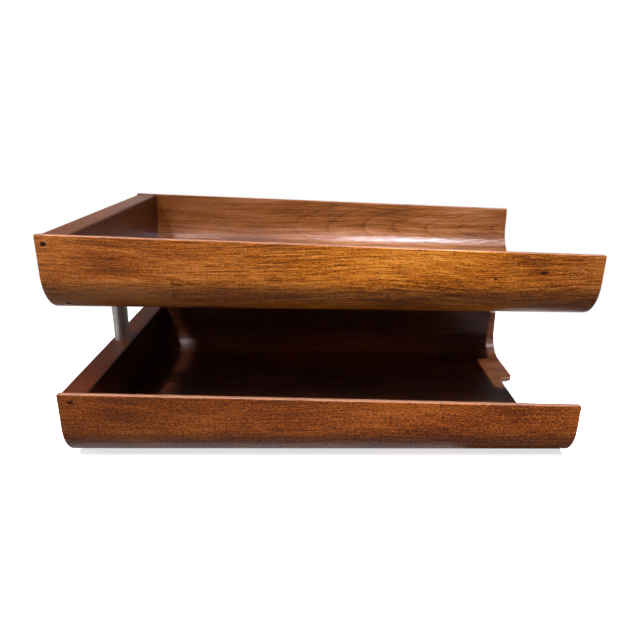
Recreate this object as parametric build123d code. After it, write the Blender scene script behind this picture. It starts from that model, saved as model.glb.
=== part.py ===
from build123d import *
import math
import os

# A two-tier letter tray. Two equal trays of bent walnut plywood, each closed at one
# end by a solid walnut board, stand one above the other on a single round metal post
# at the closed end. A long bolt runs up through the post, and the upper tray swings
# about it. Millimetres, +X towards the open end, +Y towards the back wall, +Z up.
# The origin is on the desk, under the middle of the trays.

# Tray shell, as one bent sheet
tray_length = 390.0
tray_width = 244.0           # outside, across the rims at the closed end
wall_height_closed = 57.0    # rim above the underside, at the closed end
wall_height_open = 49.5      # the rim slopes down to this at the open end
ply_thickness = 4.5
bend_radius = 30.0           # outside of the bend
wall_lean = 1.7              # degrees, outwards
rim_round = 1.0
end_chamfer = 0.5

# Finger recess in the floor's open edge
recess_width = 73.0
recess_depth = 14.0
recess_mouth_round = 7.5
recess_corner_round = 5.5

# End board
board_thickness = 19.0
board_inset = 1.0            # outer face back from the shell's end
board_drop = 1.0             # top below the rim
board_round = 1.2
glue_line = 0.05

# Post and the stack on the pivot bolt
tier_gap = 60.2              # lower board's top to the upper tray's underside
post_diameter = 13.0
post_wall = 1.5
post_socket_depth = 3.0
post_socket_clearance = 0.05
post_edge_chamfer = 0.3
bolt_diameter = 6.0
bolt_running_clearance = 0.08
bolt_free_clearance = 0.3
head_across_flats = 10.0
head_height = 4.0
head_chamfer = 0.5
counterbore_diameter = 18.0
counterbore_depth = 12.0     # from the lower tray's underside
flat_washer_diameter = 14.0
flat_washer_thickness = 1.6
spring_washer_diameter = 11.0
spring_washer_thickness = 1.6
spring_washer_slit = 1.2
washer_clearance = 0.2
bearing_diameter = 12.4
bearing_thickness = 0.8
insert_diameter = 9.0
insert_length = 14.0
insert_flange_diameter = 11.0
insert_flange_thickness = 1.2
thread_clearance = 0.04
bolt_end_space = 2.0

# Flat-wire brads that nail each shell to its board, and the filler over their heads
brad_width = 1.3             # along the tray
brad_thickness = 1.1
brad_length = 22.0
brad_head_width = 2.0
brad_head_thickness = 0.8
filler_width = 3.4           # along the tray
filler_height = 2.6
filler_depth = 1.6
rim_brad_drop = 6.3          # below the rim
rim_brad_inset = {"lower": 9.6, "upper": 5.8}
corner_brad_inset = 12.4
corner_brad_angle = 52.0     # degrees round the bend, below level
floor_brad_spacing = 120.0

# Pads under the lower tray
pad_diameter = 16.0
pad_height = 2.0
pad_edge_chamfer = 0.4
pad_end_inset = 34.0         # pad centres from each end of the tray
pad_spacing = 164.0          # front pads to back pads

# Places that follow from the sizes above
lower_floor_z = pad_height
board_top_height = wall_height_closed - board_drop
lower_board_top_z = lower_floor_z + board_top_height
upper_floor_z = lower_board_top_z + tier_gap
closed_end_x = -tray_length / 2
open_end_x = tray_length / 2
board_outer_x = closed_end_x + board_inset
pivot_x = board_outer_x + board_thickness / 2
rim_slope = math.degrees(math.atan((wall_height_closed - wall_height_open) / tray_length))


# Cross-section of the tray

def bend_centre():
    """Y and Z of the front or back bend's centre, from the middle of the tray's underside."""
    lean = math.radians(wall_lean)
    wall_y = tray_width / 2 - (wall_height_closed - bend_radius) * math.tan(lean)
    return wall_y - bend_radius / math.cos(lean), bend_radius


def wall_point(inset, height):
    """Y of the wall's surface at a height, moved in from the outside by inset."""
    lean = math.radians(wall_lean)
    rim_y = tray_width / 2 - inset / math.cos(lean)
    return rim_y + (height - wall_height_closed) * math.tan(lean)


def bend_point(inset, angle):
    """Y and Z on the bend, angle degrees below level, moved in by inset."""
    centre_y, centre_z = bend_centre()
    radius = bend_radius - inset
    turn = math.radians(angle)
    return centre_y + radius * math.cos(turn), centre_z - radius * math.sin(turn)


def trough_face(inset, top):
    """The space within the tray's outer surface moved in by inset, closed level at top."""
    right = [
        (bend_centre()[0], inset),
        bend_point(inset, (90 + wall_lean) / 2),
        bend_point(inset, wall_lean),
        (wall_point(inset, top), top),
    ]
    left = [(-y, z) for y, z in right]
    outline = Curve() + [
        Line(left[0], right[0]),
        ThreePointArc(right[0], right[1], right[2]),
        Line(right[2], right[3]),
        Line(right[3], left[3]),
        Line(left[3], left[2]),
        ThreePointArc(left[2], left[1], left[0]),
    ]
    return Plane.YZ * make_face(outline)


def trough(inset, top, length):
    return Pos(closed_end_x, 0, 0) * extrude(trough_face(inset, top), length)


# Bent plywood shell

def finger_recess():
    """The cut that leaves room to lift the papers' edge, rounded at its mouth and corners."""
    side = recess_width / 2
    mouth = side + recess_mouth_round
    mouth_x = open_end_x - recess_mouth_round
    back_x = open_end_x - recess_depth
    outer_x = open_end_x + recess_mouth_round
    slant = math.sqrt(0.5)
    half = [
        (outer_x, mouth),
        (open_end_x, mouth),
        (mouth_x + recess_mouth_round * slant, mouth - recess_mouth_round * slant),
        (mouth_x, side),
        (back_x + recess_corner_round, side),
        (back_x + recess_corner_round * (1 - slant), side - recess_corner_round * (1 - slant)),
        (back_x, side - recess_corner_round),
    ]
    other = [(x, -y) for x, y in half]
    edges = [Line(half[6], other[6]), Line(half[0], other[0])]
    for points in (half, other):
        edges.append(Line(points[0], points[1]))
        edges.append(ThreePointArc(points[1], points[2], points[3]))
        edges.append(Line(points[3], points[4]))
        edges.append(ThreePointArc(points[4], points[5], points[6]))
    face = make_face(Curve() + edges)
    return Pos(0, 0, -ply_thickness) * extrude(face, 3 * ply_thickness)


def shell():
    """One sheet bent up at the front and back, its rims sloping to the open end."""
    above_rim = wall_height_closed + ply_thickness
    body = trough(0, above_rim, tray_length) - trough(ply_thickness, above_rim, tray_length)
    rim_plane = Plane(origin=(closed_end_x, 0, wall_height_closed)).rotated((0, rim_slope, 0))
    body = split(body, bisect_by=rim_plane, keep=Keep.BOTTOM)
    rims = body.faces().filter_by(lambda face: face.normal_at().Z > 0.9).sort_by(Axis.Z)[-2:]
    long_edges = [edge for edge in rims.edges() if edge.length > tray_length / 2]
    body = fillet(long_edges, rim_round)
    end_faces = body.faces().filter_by(Axis.X)
    body = chamfer(end_faces.edges(), end_chamfer)
    return body - finger_recess()


# Solid board that closes one end

def end_board():
    inset = ply_thickness + glue_line
    body = Pos(board_inset, 0, 0) * trough(inset, board_top_height, board_thickness)
    top = body.faces().sort_by(Axis.Z)[-1]
    long_edges = [edge for edge in top.edges() if edge.length > 2 * board_thickness]
    return fillet(long_edges, board_round)


# Brads and the filler that hides their heads

def brad_planes(tier):
    """Planes on the shell's outside at each brad, their Z pointing into the wood."""
    lean = math.radians(wall_lean)
    rim_z = wall_height_closed - rim_brad_drop
    rim_y = wall_point(0, rim_z)
    corner_y, corner_z = bend_point(0, corner_brad_angle)
    corner_x = closed_end_x + corner_brad_inset
    slant = math.radians(corner_brad_angle)
    planes = []
    for side in (-1, 1):
        rim_x = closed_end_x + rim_brad_inset[tier]
        places = [
            ((rim_x, side * rim_y, rim_z), (0, -side * math.cos(lean), math.sin(lean))),
            ((corner_x, side * corner_y, corner_z), (0, -side * math.cos(slant), math.sin(slant))),
            ((pivot_x, side * floor_brad_spacing / 2, 0), (0, 0, 1)),
        ]
        for origin, inwards in places:
            planes.append(Plane(origin=origin, x_dir=(1, 0, 0), z_dir=inwards))
    return planes


def rod(diameter, start, length):
    """A round bar along +Z from start."""
    return Pos(0, 0, start) * Cylinder(diameter / 2, length, align=(Align.CENTER, Align.CENTER, Align.MIN))


def bar(width, height, start, length):
    """A flat bar along +Z from start."""
    return Pos(0, 0, start) * Box(width, height, length, align=(Align.CENTER, Align.CENTER, Align.MIN))


def brad():
    head = bar(brad_head_width, brad_thickness, filler_depth, brad_head_thickness)
    return head + bar(brad_width, brad_thickness, filler_depth, brad_length)


def filler():
    """A plug that stands proud until the shell's outside trims it flush."""
    return bar(filler_width, filler_height, -filler_depth, 2 * filler_depth)


def brads(tier):
    return [plane * brad() for plane in brad_planes(tier)]


def fillers(tier):
    outside = trough(0, wall_height_closed, tray_length)
    return [(plane * filler()) & outside for plane in brad_planes(tier)]


def nailed(body, tier):
    """A shell or board with the holes that its brads and filler leave."""
    for plane in brad_planes(tier):
        body = body - plane * brad()
        body = body - plane * filler()
    return body


# Holes for the pivot

def at_pivot(piece, height=0.0):
    return Pos(pivot_x, 0, height) * piece


def lower_pivot_holes():
    """Counterbore for the bolt head, running bore for the shank and socket for the post."""
    counterbore = rod(counterbore_diameter, 0, counterbore_depth)
    bore = rod(bolt_diameter + 2 * bolt_running_clearance, 0, board_top_height)
    socket_diameter = post_diameter + 2 * post_socket_clearance
    socket = rod(socket_diameter, board_top_height - post_socket_depth, post_socket_depth)
    return at_pivot(counterbore + bore + socket)


def upper_pivot_holes():
    """Free hole through the shell, then the blind hole that holds the threaded insert."""
    floor_hole = rod(bolt_diameter + 2 * bolt_free_clearance, 0, ply_thickness)
    flange_seat = rod(insert_flange_diameter, ply_thickness, glue_line + insert_flange_thickness)
    insert_hole = rod(insert_diameter, ply_thickness, glue_line + insert_length)
    end_space = rod(bolt_diameter + 2 * bolt_free_clearance, ply_thickness,
                    glue_line + insert_length + bolt_end_space)
    return at_pivot(floor_hole + flange_seat + insert_hole + end_space)


# Post, bolt and the pieces on it

def post_tube():
    length = post_socket_depth + tier_gap - bearing_thickness
    tube = rod(post_diameter, 0, length) - rod(post_diameter - 2 * post_wall, 0, length)
    tube = chamfer(tube.edges().filter_by(GeomType.CIRCLE), post_edge_chamfer)
    return at_pivot(tube, lower_board_top_z - post_socket_depth)


def ring(outer_diameter, hole_diameter, thickness):
    return rod(outer_diameter, 0, thickness) - rod(hole_diameter, 0, thickness)


def bearing_washer():
    washer = ring(bearing_diameter, bolt_diameter + 2 * washer_clearance, bearing_thickness)
    return at_pivot(washer, upper_floor_z - bearing_thickness)


flat_washer_z = lower_floor_z + counterbore_depth - flat_washer_thickness
spring_washer_z = flat_washer_z - spring_washer_thickness
head_z = spring_washer_z - head_height


def flat_washer():
    washer = ring(flat_washer_diameter, bolt_diameter + 2 * washer_clearance, flat_washer_thickness)
    return at_pivot(washer, flat_washer_z)


def spring_washer():
    """A ring with a slanting slit, pressed flat by the bolt."""
    washer = ring(spring_washer_diameter, bolt_diameter + 2 * washer_clearance, spring_washer_thickness)
    slit = Box(spring_washer_diameter, spring_washer_slit, 4 * spring_washer_thickness)
    slit = Pos(spring_washer_diameter / 2, 0, spring_washer_thickness / 2) * Rot(30, 0, 0) * slit
    return at_pivot(washer - slit, spring_washer_z)


def pivot_bolt():
    """Hexagon bolt that clamps the stack and turns with the upper tray."""
    head = extrude(RegularPolygon(head_across_flats / 2, 6, major_radius=False), head_height)
    across_corners = head_across_flats / math.cos(math.radians(30))
    rounding = rod(across_corners, 0, head_height)
    rounding = chamfer(rounding.edges().sort_by(Axis.Z)[0], head_chamfer)
    head = head & rounding
    tip_z = upper_floor_z + ply_thickness + glue_line + insert_length
    shank = rod(bolt_diameter, head_height, tip_z - head_z - head_height)
    shank = chamfer(shank.edges().sort_by(Axis.Z)[-1], head_chamfer)
    return at_pivot(head + shank, head_z)


def threaded_insert():
    insert = rod(insert_diameter, 0, insert_length) + rod(insert_flange_diameter, 0, insert_flange_thickness)
    insert = insert - rod(bolt_diameter + 2 * thread_clearance, 0, insert_length)
    return at_pivot(insert, upper_floor_z + ply_thickness + glue_line)


# Pads on the desk

def foot_pads():
    pad = rod(pad_diameter, 0, pad_height)
    pad = chamfer(pad.edges().sort_by(Axis.Z)[0], pad_edge_chamfer)
    pad_x = tray_length / 2 - pad_end_inset
    pad_y = pad_spacing / 2
    return [Pos(x, y, 0) * pad for x in (-pad_x, pad_x) for y in (-pad_y, pad_y)]


# Assembly

def raised(pieces, height):
    return [Pos(0, 0, height) * piece for piece in pieces]


bare_shell = shell()
bare_board = end_board()
lower_holes = lower_pivot_holes()
upper_holes = upper_pivot_holes()

nodes = {
    "lower_shell": raised([nailed(bare_shell, "lower") - lower_holes], lower_floor_z),
    "lower_end_board": raised([nailed(bare_board, "lower") - lower_holes], lower_floor_z),
    "lower_brads": raised(brads("lower"), lower_floor_z),
    "lower_fillers": raised(fillers("lower"), lower_floor_z),
    "upper_shell": raised([nailed(bare_shell, "upper") - upper_holes], upper_floor_z),
    "upper_end_board": raised([nailed(bare_board, "upper") - upper_holes], upper_floor_z),
    "upper_brads": raised(brads("upper"), upper_floor_z),
    "upper_fillers": raised(fillers("upper"), upper_floor_z),
    "post_tube": [post_tube()],
    "bearing_washer": [bearing_washer()],
    "flat_washer": [flat_washer()],
    "spring_washer": [spring_washer()],
    "pivot_bolt": [pivot_bolt()],
    "threaded_insert": [threaded_insert()],
    "foot_pads": foot_pads(),
}

os.makedirs("parts", exist_ok=True)
for name, pieces in nodes.items():
    solids = [solid for piece in pieces for solid in piece.solids()]
    export_step(Compound(children=solids), f"parts/{name}.step")
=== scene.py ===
"""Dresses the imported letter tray: two bent walnut shells, their end boards, the post and its fittings.

Lengths are in metres in the CAD's own frame: the origin is on the desk under the middle of the tray, +X
runs to the open end, +Y to the back and +Z up.
"""

from math import atan2, cos, hypot, pi, radians, sin, tan

import bmesh
import bpy
from mathutils import Matrix, Vector


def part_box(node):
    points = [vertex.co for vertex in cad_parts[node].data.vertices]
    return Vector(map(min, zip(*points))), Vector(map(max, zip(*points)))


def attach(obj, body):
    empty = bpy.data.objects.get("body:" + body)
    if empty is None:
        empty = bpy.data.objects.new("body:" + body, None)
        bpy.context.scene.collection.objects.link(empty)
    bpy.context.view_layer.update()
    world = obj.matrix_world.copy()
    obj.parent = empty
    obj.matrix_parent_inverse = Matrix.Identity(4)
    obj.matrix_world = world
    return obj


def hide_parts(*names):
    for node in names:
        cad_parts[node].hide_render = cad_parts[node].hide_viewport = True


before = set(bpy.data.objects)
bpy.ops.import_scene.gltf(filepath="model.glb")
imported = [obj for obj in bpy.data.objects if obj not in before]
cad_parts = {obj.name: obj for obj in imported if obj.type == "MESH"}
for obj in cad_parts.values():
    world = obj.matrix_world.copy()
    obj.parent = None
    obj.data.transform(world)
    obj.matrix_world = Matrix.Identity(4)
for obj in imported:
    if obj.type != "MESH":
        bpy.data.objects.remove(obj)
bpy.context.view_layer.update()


# Bent shells. Each tray is one sheet of walnut-faced plywood, five plies pressed round a former into a
# flat floor and two walls that lean out a little. Its rims are planed to fall towards the open end, and a
# finger recess with rounded corners is sawn into the floor's open edge.
MM = 0.001
PLY_SHEET = 4.5 * MM
BEND_RADIUS = 30 * MM
WALL_LEAN = radians(1.7)
OPEN_END_DROP = 7.5 * MM
EDGE_ROUND = 0.8 * MM
RECESS_HALF_WIDTH = 36.5 * MM
RECESS_DEPTH = 14 * MM
RECESS_MOUTH_ROUND = 7.5 * MM
RECESS_CORNER_ROUND = 5.5 * MM

# The outside lies this far inside the CAD's, so that the filler spots stand a hair proud of the veneer.
SANDED_OFF = 0.02 * MM

shell_low, shell_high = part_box("lower_shell")
TRAY_LENGTH = shell_high.x - shell_low.x
TRAY_WIDTH = shell_high.y - shell_low.y
WALL_HEIGHT = shell_high.z - shell_low.z

# How far from the middle a bend's centre lies, the bend's radius halfway into the sheet, and the width of
# flat sheet that it takes up.
BEND_Y = TRAY_WIDTH / 2 - (WALL_HEIGHT - BEND_RADIUS) * tan(WALL_LEAN) - BEND_RADIUS / cos(WALL_LEAN)
MIDDLE_RADIUS = BEND_RADIUS - PLY_SHEET / 2
BEND_STRIP = MIDDLE_RADIUS * (pi / 2 - WALL_LEAN)


def half_section(inset, rim, wall_steps=5, bend_steps=14):
    """Points (y, z) above the underside, from the rim down the wall and round the bend to the floor."""
    radius = BEND_RADIUS - inset
    foot = BEND_RADIUS - radius * sin(WALL_LEAN)
    points = []
    for step in range(wall_steps):
        z = rim + (foot - rim) * step / wall_steps
        y = TRAY_WIDTH / 2 - inset / cos(WALL_LEAN) + (z - WALL_HEIGHT) * tan(WALL_LEAN)
        points.append((y, z))
    for step in range(bend_steps + 1):
        angle = WALL_LEAN + (pi / 2 - WALL_LEAN) * step / bend_steps
        points.append((BEND_Y + radius * cos(angle), BEND_RADIUS - radius * sin(angle)))
    return points


def sheet_section(inset, rim):
    """The whole section from the front rim to the back rim."""
    back = half_section(inset, rim)
    return [(-y, z) for y, z in back] + back[::-1]


def pressed_sheet(underside, columns=12):
    """The bent sheet before its recess is sawn, as a closed mesh."""
    sheet = bmesh.new()
    rings = []
    for column in range(columns + 1):
        share = column / columns
        x = shell_low.x + TRAY_LENGTH * share
        rim = WALL_HEIGHT - OPEN_END_DROP * share
        ring = sheet_section(SANDED_OFF, rim) + sheet_section(PLY_SHEET, rim)[::-1]
        rings.append([sheet.verts.new((x, y, underside + z)) for y, z in ring])
    for here, there in zip(rings, rings[1:]):
        for at in range(len(here)):
            before = at - 1
            sheet.faces.new((here[before], here[at], there[at], there[before]))
    half = len(rings[0]) // 2
    for ring, turn in ((rings[0], 1), (rings[-1], -1)):
        for at in range(half - 1):
            corners = (ring[at], ring[at + 1], ring[-at - 2], ring[-at - 1])
            sheet.faces.new(corners[::turn])
    bmesh.ops.recalc_face_normals(sheet, faces=sheet.faces)
    return sheet


def arc(x, y, radius, start, end, steps=8):
    """Points on a round from one angle to another, in degrees."""
    turns = [radians(start + (end - start) * step / steps) for step in range(steps + 1)]
    return [(x + radius * cos(turn), y + radius * sin(turn)) for turn in turns]


def recess_cutter(underside):
    """A block with the recess's outline, that stands well proud of the sheet on all open sides."""
    end, margin = shell_high.x, 20 * MM
    back = end - RECESS_DEPTH
    mouth_y = RECESS_HALF_WIDTH + RECESS_MOUTH_ROUND
    mouth = arc(end - RECESS_MOUTH_ROUND, mouth_y, RECESS_MOUTH_ROUND, 0, -90)
    corner_y = RECESS_HALF_WIDTH - RECESS_CORNER_ROUND
    corner = arc(back + RECESS_CORNER_ROUND, corner_y, RECESS_CORNER_ROUND, 90, 180)
    side = [(end + margin, mouth_y)] + mouth + corner
    outline = side + [(x, -y) for x, y in side[::-1]]
    cutter = bmesh.new()
    base = cutter.faces.new([cutter.verts.new((x, y, underside - margin)) for x, y in outline])
    raised = bmesh.ops.extrude_face_region(cutter, geom=[base])["geom"]
    lifted = [part for part in raised if isinstance(part, bmesh.types.BMVert)]
    bmesh.ops.translate(cutter, vec=(0, 0, 2 * margin), verts=lifted)
    bmesh.ops.recalc_face_normals(cutter, faces=cutter.faces)
    return cutter


def as_object(name, made):
    """Turns a finished bmesh into an object of the scene."""
    mesh = bpy.data.meshes.new(name)
    made.to_mesh(mesh)
    made.free()
    item = bpy.data.objects.new(name, mesh)
    bpy.context.scene.collection.objects.link(item)
    return item


def ease_edges(item, width, sharper_than=40, segments=3):
    """Rounds an object's edges that are sharper than an angle, in degrees, as sanding does."""
    worked = bmesh.new()
    worked.from_mesh(item.data)
    sharp = [edge for edge in worked.edges if edge.calc_face_angle(0) > radians(sharper_than)]
    bmesh.ops.bevel(
        worked, geom=sharp, offset=width, segments=segments, profile=0.5, affect="EDGES", clamp_overlap=True
    )
    worked.to_mesh(item.data)
    worked.free()
    item.data.shade_smooth()
    # At full weight the large faces lead the shading, so that they look flat up to their rounds.
    weighted = item.modifiers.new("even_shading", "WEIGHTED_NORMAL")
    weighted.weight = 100


def place_on_sheet(point, underside):
    """Where a point lies on the sheet before it was bent: along it, across it and down into its plies."""
    out, up = abs(point.y) - BEND_Y, point.z - underside - BEND_RADIUS
    side = 1 if point.y > 0 else -1
    # On the floor.
    if out <= 0:
        return point.x, point.y, point.z - underside
    # In the bend.
    below = atan2(-up, out)
    if below >= WALL_LEAN:
        return point.x, side * (BEND_Y + MIDDLE_RADIUS * (pi / 2 - below)), BEND_RADIUS - hypot(out, up)
    # Up the wall.
    climb = out * sin(WALL_LEAN) + up * cos(WALL_LEAN)
    depth = BEND_RADIUS - (out * cos(WALL_LEAN) - up * sin(WALL_LEAN))
    return point.x, side * (BEND_Y + BEND_STRIP + climb), depth


def bent_shell(node, body):
    """One tray's shell, with each point's place on the flat sheet kept for its veneer."""
    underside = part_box(node)[0].z
    shell = as_object(node + "_veneered", pressed_sheet(underside))
    cutter = as_object(node + "_cutter", recess_cutter(underside))
    saw = shell.modifiers.new("recess", "BOOLEAN")
    saw.operation = "DIFFERENCE"
    saw.object = cutter
    saw.solver = "EXACT"
    sawn = bpy.data.meshes.new_from_object(shell.evaluated_get(bpy.context.evaluated_depsgraph_get()))
    shell.modifiers.clear()
    shell.data = sawn
    bpy.data.objects.remove(cutter)
    ease_edges(shell, EDGE_ROUND)
    flat = shell.data.attributes.new("flat_sheet", "FLOAT_VECTOR", "POINT")
    for vertex in shell.data.vertices:
        flat.data[vertex.index].vector = place_on_sheet(vertex.co, underside)
    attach(shell, body)
    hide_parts(node)
    return shell


class Value:
    """An output socket of a node. Arithmetic on it adds Math nodes."""

    def __init__(self, nodes, socket):
        self.nodes = nodes
        self.socket = socket

    def maths(self, operation, *numbers):
        """A Math node whose inputs are these values or plain numbers."""
        return self.nodes.node("ShaderNodeMath", {"operation": operation}, dict(enumerate(numbers)))

    def __add__(self, other):
        return self.maths("ADD", self, other)

    def __radd__(self, other):
        return self.maths("ADD", other, self)

    def __sub__(self, other):
        return self.maths("SUBTRACT", self, other)

    def __rsub__(self, other):
        return self.maths("SUBTRACT", other, self)

    def __mul__(self, other):
        return self.maths("MULTIPLY", self, other)

    def __rmul__(self, other):
        return self.maths("MULTIPLY", other, self)

    def __truediv__(self, other):
        return self.maths("DIVIDE", self, other)

    def __rtruediv__(self, other):
        return self.maths("DIVIDE", other, self)

    def __pow__(self, other):
        return self.maths("POWER", self, other)

    def __abs__(self):
        return self.maths("ABSOLUTE", self)

    def __mod__(self, other):
        return self.maths("FLOORED_MODULO", self, other)

    def root(self):
        """The square root."""
        return self.maths("SQRT", self)

    def above(self, low, high):
        """0 below low, 1 above high and a soft step between."""
        settings = {"interpolation_type": "SMOOTHSTEP"}
        inputs = {"Value": self, "From Min": low, "From Max": high}
        return self.nodes.node("ShaderNodeMapRange", settings, inputs)

    def most(self, other):
        """The greater of the two."""
        return self.maths("MAXIMUM", self, other)


class Nodes:
    """The node tree of a material or of the world."""

    def __init__(self, tree):
        self.tree = tree

    def node(self, kind, settings=None, inputs=None, output=0):
        """Adds a node: its settings are set first, then its sockets get values or links."""
        made = self.tree.nodes.new(kind)
        for name, value in (settings or {}).items():
            if name == "stops":
                self.set_stops(made.color_ramp.elements, value)
            else:
                setattr(made, name, value)
        for name, value in (inputs or {}).items():
            self.feed(made.inputs[name], value)
        return Value(self, made.outputs[output])

    def set_stops(self, elements, stops):
        """Sets a colour ramp's elements. It has two to start with, and gets one for each further stop."""
        for _ in stops[2:]:
            elements.new(0.5)
        for element, (position, shade) in zip(elements, stops):
            element.position = position
            element.color = shade

    def feed(self, socket, value):
        """Links a value to a socket, or sets the socket to a number, vector or colour."""
        if isinstance(value, Value):
            self.tree.links.new(value.socket, socket)
        else:
            socket.default_value = value

    def shader(self, **inputs):
        """Feeds the Principled shader's sockets, named in small letters with _ for a space."""
        principled = self.tree.nodes["Principled BSDF"]
        sockets = {socket.name.lower().replace(" ", "_"): socket for socket in principled.inputs}
        for name, value in inputs.items():
            self.feed(sockets[name], value)

    def coordinates(self, kind):
        """Object is a place in metres, Normal the way a face looks, Generated a direction in the world."""
        return self.node("ShaderNodeTexCoord", output=kind)

    def axes(self, vector):
        """A vector's three parts."""
        split = self.node("ShaderNodeSeparateXYZ", None, {"Vector": vector}).socket.node
        return [Value(self, split.outputs[axis]) for axis in "XYZ"]

    def stretched(self, vector, *sizes):
        """A vector with each axis divided by a size, for a pattern as large as those sizes."""
        scale = tuple(1 / size for size in sizes)
        return self.node("ShaderNodeVectorMath", {"operation": "MULTIPLY"}, {0: vector, 1: scale})

    def noise(self, vector, sizes, detail, roughness=0.5):
        """Noise from 0 to 1 whose blotches have these sizes along the three axes."""
        place = self.stretched(vector, *sizes)
        inputs = {"Vector": place, "Scale": 1.0, "Detail": detail, "Roughness": roughness}
        return self.node("ShaderNodeTexNoise", None, inputs)

    def mix(self, share, first, second, blend="MIX"):
        """Mixes two colours, which are inputs 6 and 7 of a Mix node and come out of its output 2."""
        settings = {"data_type": "RGBA", "blend_type": blend}
        return self.node("ShaderNodeMix", settings, {0: share, 6: first, 7: second}, output=2)

    def tinted(self, share, first, tint):
        """A colour that is multiplied by a tint where share is 1, and left as it is where share is 0."""
        return self.mix(share, first, self.mix(1.0, first, tint, "MULTIPLY"))

    def bump(self, height, depth, strength):
        """Fine relief: a height of 1 stands depth metres proud of 0. strength is how much of it shows."""
        inputs = {"Strength": strength, "Distance": depth, "Height": height}
        return self.node("ShaderNodeBump", None, inputs)


def finish(name):
    """A new material, ready for its shader to be fed."""
    material = bpy.data.materials.new(name)
    material.use_nodes = True
    return material, Nodes(material.node_tree)


def colour(red, green, blue):
    """A colour as a screen shows it, from 0 to 255, turned into the linear light that a socket takes."""
    linear = []
    for part in (red / 255, green / 255, blue / 255):
        linear.append(part / 12.92 if part < 0.04045 else ((part + 0.055) / 1.055) ** 2.4)
    return (*linear, 1.0)


def mark_or_painted_light(along, across, fibre, mark_along, mark_across, length, width, slope):
    """1 in the middle of a small patch and 0 outside it, with an edge that the fibre frays: a dark fleck or
    knot in the wood, or a patch of painted light.

    length and width are from its middle to its edge, and slope turns it on the sheet.
    """
    over = along - mark_along
    reach = ((over / length) ** 2 + ((across - mark_across - over * slope) / width) ** 2).root()
    frayed = reach + (fibre - 0.5) * 1.4
    return 1 - frayed.above(0.35, 1.0)


PLIES = 5
PLY_LAYER = PLY_SHEET / PLIES
PLY_LONG = colour(178, 130, 98)
PLY_CROSS = colour(132, 82, 54)
PLY_FIBRE = colour(104, 56, 32)
GRAIN_RELIEF = 0.12 * MM

# A growth ring's width, and the shares of it within which its late wood sets in and ends.
GROWTH_RING = 4 * MM
LATE_WOOD_STARTS = (0.78, 0.92)
LATE_WOOD_ENDS = (0.93, 1.0)

# How far the grain sways from side to side, and how far the rings stray over a long and a short stretch.
GRAIN_SWAY = 16 * MM
RING_DRIFT = 3 * MM
RING_WAVER = 0.8 * MM

# A leaf of veneer gives way to the plies between these two depths, from either face.
LEAF_THIN = 0.15 * MM
LEAF_THICK = 0.5 * MM

# The figure of the outer leaf gives way to the inner leaf's between these two depths.
OUTER_LEAF_ENDS = PLY_SHEET * 0.45
INNER_LEAF_STARTS = PLY_SHEET * 0.55


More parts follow.
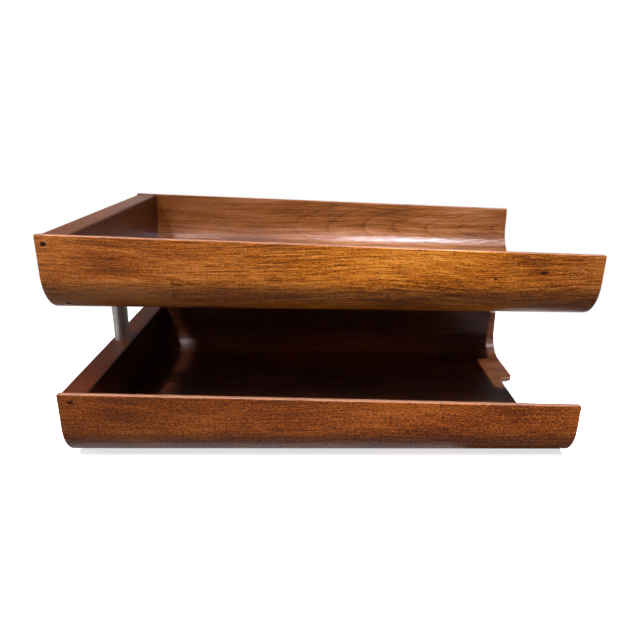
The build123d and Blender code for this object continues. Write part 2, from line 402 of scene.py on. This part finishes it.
def veneered(name, tones, outside, inside, inner_painted_shade, marks_and_painted_light):
    """Walnut veneer under satin lacquer, drawn on the flat sheet so that its figure runs round the bends.

    outside and inside describe the sheet's two faces. The growth rings are circles round the heart of the
    tree, and tilt brings the heart nearer to the face along the sheet, which makes the arches. figure,
    fleck and mottle are how strongly the rings, the short dark flecks and the curly mottling show. The last
    three entries of a face are painted light and shade: the face is lightest at one place along the sheet
    and takes its whole tint of painted shade at its reach from there. The inner tint is painted shade,
    darker over the whole inner face. The last argument's entries are flecks and knots in the wood, and a
    negative strength makes a patch of painted light.
    """
    material, wood = finish(name)
    flat = wood.node("ShaderNodeAttribute", {"attribute_name": "flat_sheet"}, output="Vector")
    along, across, depth = wood.axes(flat)
    within = depth.above(OUTER_LEAF_ENDS, INNER_LEAF_STARTS)

    def face(feature):
        """A number of the face that a point lies near."""
        return outside[feature] + within * (inside[feature] - outside[feature])

    # Each leaf has its own noise, whose sizes are along the grain, across it and from leaf to leaf.
    leaf_depth = within * 0.7
    flat_leaf = wood.node("ShaderNodeCombineXYZ", None, {"X": along, "Y": across, "Z": leaf_depth})
    sway = wood.noise(flat_leaf, (0.16, 0.07, 1.0), detail=1)
    swayed = across + (sway - 0.5) * GRAIN_SWAY
    leaf = wood.node("ShaderNodeCombineXYZ", None, {"X": along, "Y": swayed, "Z": leaf_depth})
    broad = wood.noise(leaf, (0.11, 0.030, 1.0), detail=3)
    waver = wood.noise(leaf, (0.030, 0.012, 1.0), detail=2)
    streak = wood.noise(leaf, (0.060, 0.0014, 1.0), detail=2)
    fibre = wood.noise(leaf, (0.0140, 0.0007, 1.0), detail=2, roughness=0.6)
    pores = wood.noise(leaf, (0.0065, 0.0006, 1.0), detail=1).above(0.55, 0.66)
    mottling = wood.noise(leaf, (0.0022, 0.0010, 1.0), detail=2, roughness=0.6)

    # A growth ring darkens slowly, then fast in its late wood, and the next one starts pale. On the inner
    # face the rings are fainter in the left half.
    sideways = swayed - face("heart_across")
    below = face("heart_below") - along * face("tilt") + (broad - 0.5) * RING_DRIFT
    radius = (sideways * sideways + below * below).root() + (waver - 0.5) * RING_WAVER
    growth = (0 - radius / GROWTH_RING) % 1.0
    late = growth * 0.3 + growth.above(*LATE_WOOD_STARTS) * 0.7 * (1 - growth.above(*LATE_WOOD_ENDS))
    late = late * (1 - within * (0 - along).above(0.0, 0.05) * 0.8)

    # The tone runs from 0, pale, to 1, dark. The flecks and knots, and the patch of painted light among
    # them, are on the outer face alone.
    tone = 0.42 + (late - 0.3) * face("figure") + (broad - 0.5) * 0.95 + (streak - 0.5) * 0.85
    tone = tone + (fibre - 0.5) * face("fleck") + (mottling - 0.5) * face("mottle")
    for *place_and_shape, strength in marks_and_painted_light:
        tone = tone + mark_or_painted_light(along, across, fibre, *place_and_shape) * strength * (1 - within)
    veneer = wood.node("ShaderNodeValToRGB", {"stops": tones}, {"Fac": tone})

    # Painted shade: each face darkens away from its lightest place along the sheet, faster to the right
    # than to its left.
    off = along - face("lit_middle")
    painted_shade = ((0 - off).most(off * 1.8) / face("reach")).above(0.15, 1.0)
    veneer = wood.tinted(painted_shade, veneer, wood.mix(within, outside["painted_shade"], inside["painted_shade"]))
    # Painted shade: the inner face is tinted darker, for the less light that falls inside the tray.
    veneer = wood.tinted(within, veneer, inner_painted_shade)
    darkest = tones[-1][1]
    veneer = wood.mix(pores * 0.28, veneer, darkest)

    # Each ply runs across the next, so the ones that look pale on the rims look dark on the sheet's ends.
    end_on = abs(wood.axes(wood.coordinates("Normal"))[0]).above(0.5, 0.8)
    layer = (depth / (2 * PLY_LAYER) % 1.0).above(0.47, 0.53)
    plies = wood.mix(abs(layer - end_on), PLY_LONG, PLY_CROSS)
    plies = wood.mix((fibre - 0.3) * 0.8, plies, PLY_FIBRE)
    inner_leaf = depth.above(PLY_SHEET - LEAF_THICK, PLY_SHEET - LEAF_THIN)
    core = depth.above(LEAF_THIN, LEAF_THICK) * (1 - inner_leaf)

    relief = streak * 0.25 + fibre * 0.7 - pores * 0.8 + mottling * 0.6 + waver * 1.5
    wood.shader(
        base_color=wood.mix(core, veneer, plies),
        roughness=0.29 + pores * 0.06 + core * 0.3 + (broad - 0.5) * 0.08,
        normal=wood.bump(relief, GRAIN_RELIEF, strength=0.9),
        ior=1.5,
    )
    return material


lower_shell = bent_shell("lower_shell", "lower_tray")
upper_shell = bent_shell("upper_shell", "upper_tray")
RED_TONES = [
    (0.05, colour(192, 108, 34)),
    (0.40, colour(143, 65, 10)),
    (0.65, colour(98, 42, 8)),
    (1.00, colour(40, 16, 6)),
]
GOLD_TONES = [
    (0.05, colour(240, 156, 60)),
    (0.40, colour(192, 106, 20)),
    (0.65, colour(126, 62, 8)),
    (1.00, colour(46, 20, 6)),
]

# Each entry is its place along and across the sheet, its length, width and slope, and how dark it is; a
# negative one is paler.
# Painted light and shade: the last three entries of each face make it lightest at one place along the sheet
# and darker towards its ends, and the inner tint darkens the whole inner face.
lower_veneer = veneered(
    "mottled_walnut_veneer",
    RED_TONES,
    outside={
        "heart_across": 0.01,
        "heart_below": 0.045,
        "tilt": 0.08,
        "figure": 0.05,
        "fleck": 1.0,
        "mottle": 2.2,
        "lit_middle": 0.14,
        "reach": 0.30,
        "painted_shade": (0.70, 0.70, 0.8, 1.0),
    },
    inside={
        "heart_across": -0.02,
        "heart_below": 0.050,
        "tilt": 0.08,
        "figure": 0.15,
        "fleck": 0.3,
        "mottle": 0.3,
        "lit_middle": 0.18,
        "reach": 0.40,
        "painted_shade": (0.58, 0.55, 0.7, 1.0),
    },
    inner_painted_shade=(0.48, 0.61, 1.8, 1.0),
    marks_and_painted_light=[(-0.186, -0.1556, 0.003, 0.0022, 0.0, 0.3)],
)
upper_veneer = veneered(
    "golden_walnut_veneer",
    GOLD_TONES,
    outside={
        "heart_across": 0.0,
        "heart_below": 0.050,
        "tilt": 0.10,
        "figure": 0.12,
        "fleck": 1.2,
        "mottle": 1.0,
        "lit_middle": 0.07,
        "reach": 0.20,
        "painted_shade": (0.67, 0.62, 1.00, 1.0),
    },
    inside={
        "heart_across": 0.133,
        "heart_below": 0.03656,
        "tilt": 0.1127,
        "figure": 0.16,
        "fleck": 0.4,
        "mottle": 0.35,
        "lit_middle": 0.12,
        "reach": 0.30,
        "painted_shade": (0.48, 0.36, 0.15, 1.0),
    },
    inner_painted_shade=(0.50, 0.60, 2.2, 1.0),
    marks_and_painted_light=[
        (-0.1035, -0.1290, 0.0060, 0.0009, 0.25, 0.7),
        (-0.1060, -0.1210, 0.0030, 0.0050, 0.0, 0.2),
        (0.1181, -0.1363, 0.0014, 0.0011, 0.0, 0.8),
        (0.1516, -0.1412, 0.0050, 0.0016, -0.1, 0.35),
        (0.1516, -0.1412, 0.0020, 0.0012, 0.3, 0.4),
        (-0.1460, -0.1375, 0.0300, 0.0028, 0.02, 0.25),
        (-0.1000, -0.1310, 0.0240, 0.0022, 0.20, 0.20),
        # Painted light: the entry below, with a negative strength, is no mark in the wood. It is a paler
        # patch low on the left of the front bend, where light bounces up from the table.
        (-0.1500, -0.1150, 0.0800, 0.0160, 0.0, -0.30),
    ],
)
lower_shell.data.materials.append(lower_veneer)
upper_shell.data.materials.append(upper_veneer)


# End boards. A solid walnut board closes the left end of each tray, shaped to the bend and nailed between
# the walls, its top edges eased. Its grain runs from front to back.
def solid_walnut(name, tones, offset, painted_top_light):
    """Solid walnut under the same lacquer, its grain along Y. The last argument multiplies its top's colour
    as painted light.

    offset is where in the endless pattern a board is cut from, so that two boards differ.
    """
    material, wood = finish(name)
    place = wood.coordinates("Object")
    shifted = wood.node("ShaderNodeVectorMath", {"operation": "ADD"}, {0: place, 1: offset})
    broad = wood.noise(shifted, (0.02, 0.25, 0.03), detail=2)
    streak = wood.noise(shifted, (0.0022, 0.07, 0.003), detail=3, roughness=0.6)
    fibre = wood.noise(shifted, (0.0008, 0.018, 0.0009), detail=2, roughness=0.6)
    pores = wood.noise(shifted, (0.0009, 0.008, 0.0010), detail=1).above(0.60, 0.70)
    tone = 0.45 + (broad - 0.5) * 0.6 + (streak - 0.5) * 0.7 + (fibre - 0.5) * 0.4
    timber = wood.node("ShaderNodeValToRGB", {"stops": tones}, {"Fac": tone})
    darkest = tones[-1][1]
    timber = wood.mix(pores * 0.5, timber, darkest)
    # Painted light: top faces are tinted lighter than the sides, for the light that falls on them.
    lit_top = wood.axes(wood.coordinates("Normal"))[2].above(0.5, 0.9)
    wood.shader(
        base_color=wood.tinted(lit_top, timber, painted_top_light),
        roughness=0.31 + pores * 0.12,
        normal=wood.bump(streak * 0.25 + fibre * 0.3 - pores * 0.6, GRAIN_RELIEF, strength=0.5),
        specular_ior_level=0.35,
    )
    return material


def dress(node, material):
    """Gives a carried-over CAD node its finish."""
    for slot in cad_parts[node].material_slots:
        slot.material = material


# Painted light: the colour of each board's top is multiplied by these, so that it looks lighter than its
# sides where light falls on it.
SHADED_TOP = (1.40, 1.38, 1.36, 1.0)
SUNLIT_TOP = (2.05, 2.75, 2.40, 1.0)
BOARD_TONES = [
    (0.10, colour(94, 46, 24)),
    (0.40, colour(68, 29, 13)),
    (0.65, colour(47, 17, 7)),
    (1.00, colour(24, 9, 4)),
]
lower_walnut = solid_walnut(
    "lower_board_walnut_grain", BOARD_TONES, offset=(0.0, 0.0, 0.0), painted_top_light=SHADED_TOP
)
upper_walnut = solid_walnut(
    "upper_board_walnut_grain", BOARD_TONES, offset=(0.31, 0.17, 0.0), painted_top_light=SUNLIT_TOP
)
dress("lower_end_board", lower_walnut)
dress("upper_end_board", upper_walnut)


# Brads and fillers. Steel brads hold each shell to its board, and dark wood filler hides their heads, flush
# with the veneer.
def metal(name, tint, roughness, wear):
    """Plain metal with a fine uneven surface. wear is how much its colour varies."""
    material, surface = finish(name)
    place = surface.coordinates("Object")
    blotch = surface.noise(place, (0.004, 0.004, 0.004), detail=3)
    scratch = surface.noise(place, (0.0004, 0.0004, 0.004), detail=2)
    tarnished = tuple(part * 0.6 for part in tint[:3]) + (1.0,)
    surface.shader(
        base_color=surface.mix((blotch - 0.3) * wear, tint, tarnished),
        metallic=1.0,
        roughness=roughness + (scratch - 0.5) * 0.2,
        normal=surface.bump(scratch, 0.03 * MM, strength=0.4),
    )
    return material


def wood_filler(name, dark, pale):
    """Putty, a little rough and uneven."""
    material, putty = finish(name)
    grit = putty.noise(putty.coordinates("Object"), (0.0006, 0.0006, 0.0006), detail=3)
    putty.shader(
        base_color=putty.mix(grit.above(0.4, 0.7), dark, pale),
        roughness=0.55 + (grit - 0.5) * 0.3,
        specular_ior_level=0.15,
        normal=putty.bump(grit, 0.1 * MM, strength=0.5),
    )
    return material


brad_metal = metal("brad_steel_wire", colour(150, 148, 145), roughness=0.35, wear=0.6)
lower_filler = wood_filler("brown_wood_filler", dark=colour(52, 24, 12), pale=colour(84, 42, 18))
upper_filler = wood_filler("dark_wood_filler", dark=colour(20, 13, 8), pale=colour(44, 30, 16))
dress("lower_brads", brad_metal)
dress("upper_brads", brad_metal)
dress("lower_fillers", lower_filler)
dress("upper_fillers", upper_filler)


# Post and fittings. A satin aluminium tube stands in a shallow socket in the lower board, and a long
# zinc-plated bolt runs up it into a brass insert in the upper board. A nylon washer lets the upper tray
# turn on the tube.
def brushed_aluminium():
    """Satin aluminium, brushed along the tube, with a few small pits."""
    material, surface = finish("satin_aluminium")
    place = surface.coordinates("Object")
    brushing = surface.noise(place, (0.0005, 0.0005, 0.020), detail=3, roughness=0.6)
    cloud = surface.noise(place, (0.006, 0.006, 0.016), detail=2)
    pits = surface.noise(place, (0.0011, 0.0011, 0.0014), detail=1).above(0.68, 0.76)
    bright = surface.mix(cloud, colour(228, 222, 214), colour(176, 168, 160))
    surface.shader(
        base_color=surface.mix(pits * 0.6, bright, colour(96, 84, 76)),
        metallic=1.0,
        roughness=0.40 + (brushing - 0.5) * 0.25 + pits * 0.2,
        normal=surface.bump(brushing - pits, 0.03 * MM, strength=0.5),
    )
    return material


def nylon():
    """Black nylon, faintly cloudy."""
    material, plastic = finish("bearing_nylon")
    cloud = plastic.noise(plastic.coordinates("Object"), (0.003, 0.003, 0.003), detail=3)
    plastic.shader(
        base_color=plastic.mix(cloud, colour(36, 36, 37), colour(22, 22, 22)),
        roughness=0.42 + (cloud - 0.5) * 0.15,
        normal=plastic.bump(cloud, 0.05 * MM, strength=0.4),
    )
    return material


zinc = metal("zinc_plated_steel", colour(176, 178, 184), roughness=0.30, wear=0.8)
brass = metal("insert_brass_finish", colour(196, 160, 84), roughness=0.32, wear=0.7)
dress("post_tube", brushed_aluminium())
dress("bearing_washer", nylon())
for node in ("pivot_bolt", "flat_washer", "spring_washer"):
    dress(node, zinc)
dress("threaded_insert", brass)


# Foot pads. Four round pads of dense brown felt are stuck under the lower tray, two near each end, and
# keep it off the desk.
def felt():
    """Pressed felt with short tangled fibres."""
    material, cloth = finish("brown_felt")
    fuzz = cloth.noise(cloth.coordinates("Object"), (0.0004, 0.0004, 0.0004), detail=4, roughness=0.7)
    cloth.shader(
        base_color=cloth.mix(fuzz, colour(44, 32, 26), colour(86, 66, 54)),
        roughness=0.9,
        normal=cloth.bump(fuzz, 0.3 * MM, strength=0.8),
        sheen_weight=0.3,
    )
    return material


dress("foot_pads", felt())


# Studio. A round pale table top stands in a dim room that is seen as white, under three lamps in front and
# with a low one behind. The tray mirrors the left and right lamps, and shares of the white: the table
# beneath it and on its left, and the room on its left and low down behind it.
TABLE_RADIUS = 0.42
TABLE_FADE = 0.12
TABLE_MIRRORED = 0.45
TABLE_LEFT_MIRRORED = 0.15
ROOM_LEFT_MIRRORED = 0.6
ROOM_BACK_MIRRORED = 0.65
WHITE = (1, 1, 1, 1)
BLACK = (0, 0, 0, 1)
TABLE_GLOW = (0.70, 0.70, 0.70, 1)
DIM_ROOM = (0.03, 0.03, 0.03, 1)


def light_path(nodes):
    """1 for what the camera sees, and 1 for what is seen mirrored or through glass."""
    path = nodes.node("ShaderNodeLightPath").socket.node
    names = ("Is Camera Ray", "Is Glossy Ray", "Is Transmission Ray")
    camera_sees, glossy, through = [Value(nodes, path.outputs[name]) for name in names]
    return camera_sees, glossy.most(through)


def table_top():
    """A white top that keeps the tray's shadow and fades out to the background. It lights as grey does."""
    disc = bmesh.new()
    bmesh.ops.create_circle(disc, cap_ends=True, segments=96, radius=TABLE_RADIUS)
    top = as_object("studio_table_top", disc)
    material, paint = finish("pale_table_paint")
    camera_sees, mirrored = light_path(paint)
    place = paint.coordinates("Object")
    x, y, _ = paint.axes(place)

    # The table counts as beneath the tray from its closed end on and from its front edge back, or from
    # further back by the open end.
    by_open_end = (x - 0.1).most(0.0)
    beneath = (y - by_open_end * 0.8).above(-0.125, -0.105) * x.above(-0.215, -0.185)
    on_left = 1 - x.above(-0.30, -0.22)
    share = (beneath * TABLE_MIRRORED).most(on_left * TABLE_LEFT_MIRRORED)
    seen = camera_sees.most(mirrored * share)

    length = paint.node("ShaderNodeVectorMath", {"operation": "LENGTH"}, {0: place}, output="Value")
    rim = length.above(TABLE_RADIUS - TABLE_FADE, TABLE_RADIUS)
    white_paint = paint.mix(rim, colour(245, 245, 245), BLACK)
    grey_paint = paint.mix(mirrored, colour(128, 127, 124), colour(70, 69, 68))
    glow = paint.mix(rim, TABLE_GLOW, WHITE)
    paint.shader(
        base_color=paint.mix(seen, grey_paint, white_paint),
        roughness=0.9,
        specular_ior_level=0.0,
        emission_color=paint.mix(seen, BLACK, glow),
        emission_strength=1.0,
    )
    top.data.materials.append(material)


def white_room():
    """White to the camera all round, and dim as a light."""
    world = bpy.data.worlds.new("studio_room")
    world.use_nodes = True
    bpy.context.scene.world = world
    room = Nodes(world.node_tree)
    camera_sees, mirrored = light_path(room)
    # The three parts of the direction looked in.
    x, y, z = room.axes(room.coordinates("Generated"))
    behind = y.above(-0.1, 0.3) * (1 - z.above(0.16, 0.25)) * (1 - (0 - x).above(0.25, 0.50))
    on_left = (0 - x - y * 0.3).above(0.55, 0.90)
    share = (behind * ROOM_BACK_MIRRORED).most(on_left * ROOM_LEFT_MIRRORED)
    seen = camera_sees.most(mirrored * share)
    sky = world.node_tree.nodes["Background"]
    room.feed(sky.inputs["Color"], room.mix(seen, DIM_ROOM, WHITE))


COOL_WHITE = (0.94, 0.94, 1.0)
DAYLIGHT = (0.88, 0.93, 1.12)


def soft_lamp(name, place, aim, width, spread, power, tint=COOL_WHITE, mirrored=True):
    """A round lamp. Its beam fades out across spread, in degrees, and its power is in watts."""
    light = bpy.data.lights.new(name, "AREA")
    light.shape = "DISK"
    light.size = width
    light.energy = power
    light.spread = radians(spread)
    light.color = tint
    lamp = bpy.data.objects.new(name, light)
    lamp.visible_glossy = mirrored
    lamp.location = place
    lamp.rotation_euler = (Vector(aim) - Vector(place)).to_track_quat("-Z", "Y").to_euler()
    bpy.context.scene.collection.objects.link(lamp)


table_top()
white_room()
soft_lamp(
    "left_lamp",
    place=(-0.75, -0.585, 1.42),
    aim=(-0.22, 0, 0.1),
    width=0.25,
    spread=34,
    power=0.9,
)
soft_lamp(
    "right_lamp",
    place=(0.31, -0.55, 1.42),
    aim=(0.15, 0, 0.1),
    width=0.03,
    spread=60,
    power=3.1,
    tint=DAYLIGHT,
)
soft_lamp(
    "front_lamp",
    place=(0.0, -1.15, 1.60),
    aim=(0.0, 0, 0.1),
    width=0.6,
    spread=180,
    power=23.3,
    mirrored=False,
)
soft_lamp(
    "back_lamp",
    place=(-0.75, 1.10, 0.07),
    aim=(-0.05, 0, 0.08),
    width=0.2,
    spread=60,
    power=2.5,
    mirrored=False,
)


# Camera. It stands half a metre in front of the middle of the tray and a little above it. Its place, its
# turn and its lens were fitted to the outlines of both trays in the photograph.
eye = Vector((-6.0, -527.8, 251.2)) * MM
turn, tip, roll = radians(-3.138), radians(-18.985), radians(-1.658)
aim = Matrix.Rotation(turn, 3, "Z") @ Matrix.Rotation(tip, 3, "X") @ Matrix.Rotation(roll, 3, "Y")
camera_lens = bpy.data.cameras.new("photo_camera")
camera_lens.lens = 33.94
camera_lens.shift_x = -0.0461
camera_lens.shift_y = 0.0149
camera = bpy.data.objects.new("photo_camera", camera_lens)
camera.location = eye
camera.rotation_euler = (aim @ Matrix.Rotation(radians(90), 3, "X")).to_euler()
bpy.context.scene.collection.objects.link(camera)
bpy.context.scene.camera = camera
bpy.context.scene.view_settings.view_transform = "Standard"
